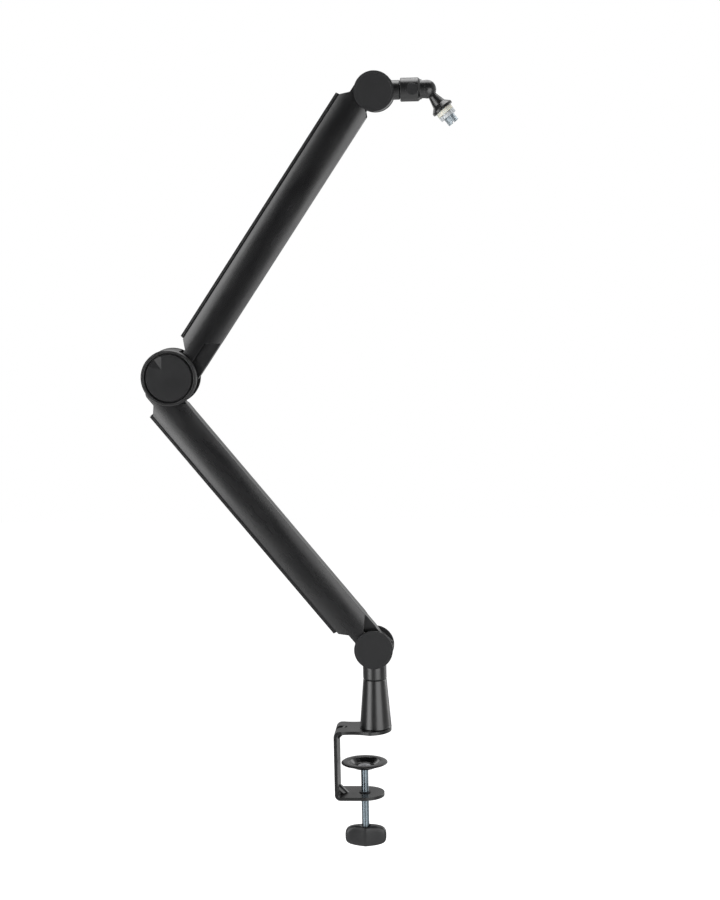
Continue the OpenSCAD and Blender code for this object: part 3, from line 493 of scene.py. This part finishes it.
def wing_shape(place, half_w, half_h, half_t, tip_t, dish_r, dish_deep):
    """A moulded wing knob, rounded all over, ridged down its middle, dished round the screw."""
    around, layers = 144, 20
    soft, corner = 5.0, 3.4  # how square the section and the front outline are
    ease = 2.5 * MM  # width over which the ridge is blunt
    verts, faces = [], []

    def point(t, u, side):
        """Place at t from the face's middle, 0, to its rim, 1, in the direction u."""
        a = t * math.pi / 2
        s = (math.sin(a) ** soft + math.cos(a) ** soft) ** (-1 / soft)
        reach = ((abs(math.cos(u)) / half_w) ** corner
                 + (abs(math.sin(u)) / half_h) ** corner) ** (-1 / corner)
        x = s * math.sin(a) * reach * math.cos(u)
        z = s * math.sin(a) * reach * math.sin(u)
        fall = 1 - math.exp(-(math.hypot(x, ease) - ease) / (0.45 * half_w))
        y = side * s * math.cos(a) * (half_t - (half_t - tip_t) * fall)
        r = math.hypot(x, y)
        top = min(1.0, max(0.0, (z - 0.45 * half_h) / (0.3 * half_h)))
        dish = min(1.0, max(0.0, (dish_r - r) / (0.3 * dish_r)))
        z -= dish_deep * top * dish * dish * (3 - 2 * dish)
        z *= 1 - 0.09 * min(1.0, abs(x) / (0.7 * half_w)) * (z < 0)
        return place @ Vector((x, y, z))

    verts.append(point(0, 0, -1))
    rings = [(i / layers, -1) for i in range(1, layers + 1)]
    rings += [(i / layers, 1) for i in range(layers - 1, 0, -1)]
    for t, side in rings:
        for k in range(around):
            verts.append(point(t, 2 * math.pi * k / around, side))
    verts.append(point(0, 0, 1))
    last = len(verts) - 1
    for k in range(around):
        n = (k + 1) % around
        faces.append((0, 1 + k, 1 + n))
        for i in range(len(rings) - 1):
            a, b = 1 + i * around, 1 + (i + 1) * around
            faces.append((a + k, b + k, b + n, a + n))
        far = 1 + (len(rings) - 1) * around
        faces.append((far + n, far + k, last))
    return verts, faces


class StandOperator(bpy.types.Operator):
    """What the stand's operators share"""
    bl_options = {"REGISTER", "UNDO"}


class MICSTAND_OT_stage(StandOperator):
    """Camera, pale floor, white surroundings and soft studio lamps"""
    bl_idname = "micstand.stage"
    bl_label = "Stage"

    def execute(self, context):
        scene = context.scene
        scene.view_settings.view_transform = "Standard"
        self.camera(scene)
        self.surroundings(scene)
        self.lamps(scene)
        return {"FINISHED"}

    def camera(self, scene):
        """The photograph's view: a little from the right and above, rolled by about a degree."""
        yaw, pitch, roll = math.radians(4.09), math.radians(7.48), math.radians(1.163)
        ahead = Vector((-math.sin(yaw) * math.cos(pitch), math.cos(yaw) * math.cos(pitch),
                        -math.sin(pitch)))
        level = Vector((math.cos(yaw), math.sin(yaw), 0))
        upright = level.cross(ahead)
        right = math.cos(roll) * level - math.sin(roll) * upright
        up = math.sin(roll) * level + math.cos(roll) * upright
        data = bpy.data.cameras.new("camera")
        data.sensor_width = SENSOR
        data.lens = SENSOR * FOCAL_PIXELS / PICTURE_HEIGHT
        eye = bpy.data.objects.new("camera", data)
        place = Matrix((right, up, -ahead)).transposed().to_4x4()
        place.translation = Vector((170.4, -2584.4, 736.0)) * MM
        eye.matrix_world = place
        scene.collection.objects.link(eye)
        scene.camera = eye

    def surroundings(self, scene):
        """A white world, dimmer in the gloss left and in front, and a pale floor below."""
        world = bpy.data.worlds.new("white_room")
        world.use_nodes = True
        tree = world.node_tree
        back = tree.nodes["Background"]
        path = tree.nodes.new("ShaderNodeLightPath")
        seen = path.outputs["Is Camera Ray"]
        for ray in ("Is Glossy Ray", "Is Transmission Ray"):
            either = tree.nodes.new("ShaderNodeMath")
            either.operation = "MAXIMUM"
            tree.links.new(seen, either.inputs[0])
            tree.links.new(path.outputs[ray], either.inputs[1])
            seen = either.outputs[0]
        aim = tree.nodes.new("ShaderNodeTexCoord")
        across = tree.nodes.new("ShaderNodeVectorMath")
        across.operation = "DOT_PRODUCT"
        across.inputs[1].default_value = (0.6, 0.6, 0.0)  # brighter to the right and behind
        tree.links.new(aim.outputs["Generated"], across.inputs[0])
        room = spread(tree, across.outputs["Value"], 0.05, 0.9, 0.1, 0.9)
        shown = tree.nodes.new("ShaderNodeMix")
        tree.links.new(path.outputs["Is Glossy Ray"], shown.inputs["Factor"])
        shown.inputs["A"].default_value = 1.0
        tree.links.new(room, shown.inputs["B"])
        level = tree.nodes.new("ShaderNodeMix")
        tree.links.new(seen, level.inputs["Factor"])
        level.inputs["A"].default_value = 0.2
        tree.links.new(shown.outputs["Result"], level.inputs["B"])
        tree.links.new(level.outputs["Result"], back.inputs["Strength"])
        back.inputs["Color"].default_value = (1, 1, 1, 1)
        scene.world = world

        pale, tree, shader = new_finish("pale_floor", (0.75, 0.75, 0.75), 0.9, 0, 0.0)
        path = tree.nodes.new("ShaderNodeLightPath")
        glow = tree.nodes.new("ShaderNodeMath")
        glow.operation = "MULTIPLY"
        glow.inputs[1].default_value = 0.9
        tree.links.new(path.outputs["Is Camera Ray"], glow.inputs[0])
        shader.inputs["Emission Color"].default_value = (1, 1, 1, 1)
        tree.links.new(glow.outputs[0], shader.inputs["Emission Strength"])
        FINISHES["floor"] = pale
        corners = [(x * FLOOR_HALF, y * FLOOR_HALF, FLOOR_LEVEL)
                   for x, y in ((-1, -1), (1, -1), (1, 1), (-1, 1))]
        mesh_piece("floor", corners, [(0, 1, 2, 3)], "floor", False)

    def lamps(self, scene):
        """Soft boxes: tall at the left, wide at the right, one overhead, two weaker behind."""
        for name, where, aim, wide, tall, radiance in LAMPS:
            data = bpy.data.lights.new(name, "AREA")
            data.shape = "RECTANGLE"
            data.size, data.size_y = wide, tall
            data.energy = radiance * math.pi * wide * tall
            lamp = bpy.data.objects.new(name, data)
            lamp.location = where
            lamp.rotation_euler = (Vector(aim) - Vector(where)).to_track_quat("-Z", "Y").to_euler()
            lamp.visible_camera = False
            scene.collection.objects.link(lamp)


class MICSTAND_OT_clamp(StandOperator):
    """Coated clamp and post, with the steel and plastic that they hold"""
    bl_idname = "micstand.clamp"
    bl_label = "Clamp and post"

    def execute(self, context):
        dress("strap", "clamp_frame")
        self.cup()
        dress("casting", "post")
        dress("black_steel", "thread_insert")
        dress("steel", "post_screws", "cup_washer")
        dress("bush", "post_bush")
        return {"FINISHED"}

    def cup(self):
        """The pressed cup: a crowned flange with a rolled rim round a soft edged well."""
        low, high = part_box("pressure_cup")
        place = axis_frame(((low.x + high.x) / 2, 0, high.z), (0, 0, 1))
        rim, well = (high.x - low.x) / 2 / MM, CUP_WELL
        floor = (high.z - low.z) / MM - 2
        section = [
            [3.7, -floor - 2], [3.7, -floor], [well - 9.5, -floor], [well - 7, -floor],
            [well - 5.6, 0.8 - floor], [well - 3, -0.55 * floor], [well - 0.8, -1.7],
            [well + 0.6, -0.4], [well + 3, 0], [rim - 5.5, 0], [rim - 3, -0.2], [rim - 1.2, -0.6],
            [rim - 0.1, -1.2], [rim + 0.1, -2.1], [rim - 0.8, -2.35], [rim - 2, -2.3],
            [rim - 5, -2.1], [well + 2.4, -2.1], [well, -3.4], [well - 2, -0.55 * floor - 2],
            [well - 5, -floor - 2], [well - 9, -floor - 2]]
        loop = [[r * MM, z * MM] for r, z in reversed(rounded(section))]
        pressed = mesh_piece("pressed_cup", *ring(place, loop, 120), "cup")
        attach(pressed, "clamp_cup")
        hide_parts("pressure_cup")


class MICSTAND_OT_clamp_screw(StandOperator):
    """Threaded clamp screw with its riveted disc, and the moulded wing knob"""
    bl_idname = "micstand.clamp_screw"
    bl_label = "Clamp screw"

    def execute(self, context):
        sizes = context.scene.micstand_sizes
        low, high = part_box("clamp_spindle")
        well = high.z - 2.5 * MM
        x = (low.x + high.x) / 2
        place = axis_frame((x, 0, 0), (0, 0, 1))
        shoulder = well - 3.5 * MM
        thread = threaded_rod("clamp_screw_thread", place, low.z, shoulder, SCREW_RADIUS,
                              sizes.screw_pitch, 0.18 * MM, 0.6 * MM, "zinc")
        disc = turned("clamp_screw_disc", place, [
            [0, shoulder - 0.2 * MM], [3.65 * MM, shoulder - 0.1 * MM],
            [3.65 * MM, well + 0.1 * MM], [8.4 * MM, well + 0.1 * MM],
            [8.75 * MM, well + 0.35 * MM], [8.7 * MM, well + 0.8 * MM],
            [8.2 * MM, well + 1.3 * MM], [7.4 * MM, well + 1.4 * MM],
            [0, well + 1.42 * MM]], "rivet")
        end = turned("clamp_screw_end", place, [
            [0, well + 1.2 * MM], [4.5 * MM, well + 1.3 * MM], [4.3 * MM, well + 1.8 * MM],
            [3.6 * MM, well + 2.3 * MM], [2.4 * MM, well + 2.45 * MM], [1.6 * MM, well + 2.2 * MM],
            [0, well + 2.1 * MM]], "rivet", 48)
        low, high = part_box("wing_knob")
        middle = axis_frame((low + high) / 2, (0, 0, 1))
        half = (high - low) / 2
        wing = mesh_piece("moulded_wing_knob", *wing_shape(
            middle, half.x, half.z, half.y, 6.2 * MM, 8.4 * MM, 4 * MM), "wing")
        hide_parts("clamp_spindle")
        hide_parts("wing_knob")
        for piece, slot in ((thread, "zinc_steel"), (disc, "zinc_steel"), (end, "zinc_steel"),
                            (wing, "knob_plastic")):
            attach(piece, "clamp_screw")
        dress("zinc", "knob_pin")
        return {"FINISHED"}


class MICSTAND_OT_turret(StandOperator):
    """Turning neck with its caps, pins and washers"""
    bl_idname = "micstand.turret"
    bl_label = "Turning neck"

    def execute(self, context):
        dress("casting", "turret_hub")
        dress("cap", "turret_front_cap", "turret_rear_cap")
        dress("steel", "base_pins", "turret_retainer")
        dress("nylon", "base_washers")
        return {"FINISHED"}


class MICSTAND_OT_arms(StandOperator):
    """Both arms: profiles, cable covers, second bars with their ends, pins and wound springs"""
    bl_idname = "micstand.arms"
    bl_label = "Arms"

    def execute(self, context):
        sizes = context.scene.micstand_sizes
        for arm, angle, long in ARMS:
            dress(arm + "_profile", arm + "_profile")
            dress("strip", arm + "_cable_cover")
            dress(arm + "_link", arm + "_link_bar")
            dress("steel", arm + "_spring_pins")
            self.springs(arm, angle, long, sizes.spring_wire)
        ends = ("lower_link_base_end", "lower_link_elbow_end", "upper_link_elbow_end",
                "upper_link_tip_end")
        dress("casting", *ends)
        return {"FINISHED"}

    def springs(self, arm, angle, long, thick):
        """The pair of balance springs side by side inside an arm."""
        place = arm_frame(JOINTS[arm + "_lift"]["pos_m"], angle)
        coil = (10 * MM - thick) / 2
        start, length, pin_radius, hook = long * 0.26, 190 * MM, 2 * MM, 12 * MM
        path = spring_path(start, length, coil, thick / 2, pin_radius, hook)
        offsets = [Vector((0, 6 * MM, side * 5.4 * MM)) for side in (-1, 1)]
        verts, faces = wire([[p + o for p in path] for o in offsets], place, thick / 2)
        pair = mesh_piece(arm + "_wound_springs", verts, faces, "spring")
        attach(pair, arm + "_arm")
        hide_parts(arm + "_springs")


class MICSTAND_OT_elbow(StandOperator):
    """Elbow casting, its ring and the tension knob"""
    bl_idname = "micstand.elbow"
    bl_label = "Elbow"

    def execute(self, context):
        dress("casting", "elbow_hub", "elbow_ring_plate")
        dress("knob", "tension_knob")
        dress("steel", "elbow_pins", "tension_stud", "tension_washer")
        dress("nylon", "elbow_washers")
        return {"FINISHED"}


class MICSTAND_OT_tip(StandOperator):
    """Tip hub, its caps and the swivel head with its slotted microphone thread"""
    bl_idname = "micstand.tip"
    bl_label = "Tip and swivel"

    def execute(self, context):
        sizes = context.scene.micstand_sizes
        dress("casting", "tip_hub", "swivel_body", "connector_body")
        dress("cap", "tip_front_cap", "tip_rear_cap", "swivel_button")
        dress("steel", "tip_pins", "swivel_bolt", "connector_stud")
        dress("black_steel", "tilt_pin")
        dress("nylon", "tip_washers", "nylon_washer")
        dress("ring", "lock_ring")
        self.adapter(sizes.adapter_pitch)
        return {"FINISHED"}

    def adapter(self, pitch):
        """The threaded sleeve for the microphone, with a screwdriver slot across its end."""
        angle = math.radians(THREAD_ANGLE)
        tilt = Vector(JOINTS["connector_tilt"]["pos_m"])
        place = axis_frame(tilt, (math.sin(angle), 0, math.cos(angle)))
        sleeve = threaded_rod("microphone_thread", place, ADAPTER_START, ADAPTER_END,
                              ADAPTER_RADIUS, pitch, 0.32 * MM, 0.8 * MM, "adapter", 72,
                              ADAPTER_BORE)
        cutter = mesh_piece("slot_cutter", *box(place, (1 * MM, 9 * MM, 3 * MM),
                                                (0, 0, ADAPTER_END + 1 * MM)), "adapter", False)
        cut_away(sleeve, cutter)
        neck = mesh_piece("microphone_thread_neck", *ring(place, [
            [ADAPTER_BORE, NECK_START], [NECK_RADIUS, NECK_START],
            [NECK_RADIUS, ADAPTER_START + LAP], [ADAPTER_BORE, ADAPTER_START + LAP]]),
            "adapter", False)
        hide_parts("thread_adapter")
        for piece in (sleeve, neck):
            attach(piece, "connector")


class MICSTAND_PT_panel(bpy.types.Panel):
    """Lists the stand's pieces"""
    bl_label = "Microphone Stand"
    bl_idname = "MICSTAND_PT_panel"
    bl_space_type = "VIEW_3D"
    bl_region_type = "UI"
    bl_category = "Mic Stand"

    def draw(self, context):
        for made in PIECES:
            self.layout.operator(made.bl_idname)
        for group in (context.scene.micstand_colours, context.scene.micstand_sizes):
            for name in group.__annotations__:
                self.layout.prop(group, name)


PIECES = (MICSTAND_OT_stage, MICSTAND_OT_clamp, MICSTAND_OT_clamp_screw, MICSTAND_OT_turret,
          MICSTAND_OT_arms, MICSTAND_OT_elbow, MICSTAND_OT_tip)
CLASSES = (StandColours, StandSizes, *PIECES, MICSTAND_PT_panel)


def register():
    for made in CLASSES:
        bpy.utils.register_class(made)
    bpy.types.Scene.micstand_colours = bpy.props.PointerProperty(type=StandColours)
    bpy.types.Scene.micstand_sizes = bpy.props.PointerProperty(type=StandSizes)


def unregister():
    del bpy.types.Scene.micstand_sizes
    del bpy.types.Scene.micstand_colours
    for made in reversed(CLASSES):
        bpy.utils.unregister_class(made)


def main():
    """Builds the whole scene."""
    register()
    make_finishes(bpy.context.scene.micstand_colours)
    for made in PIECES:
        group, name = made.bl_idname.split(".")
        getattr(getattr(bpy.ops, group), name)()


if __name__ == "__main__":
    main()
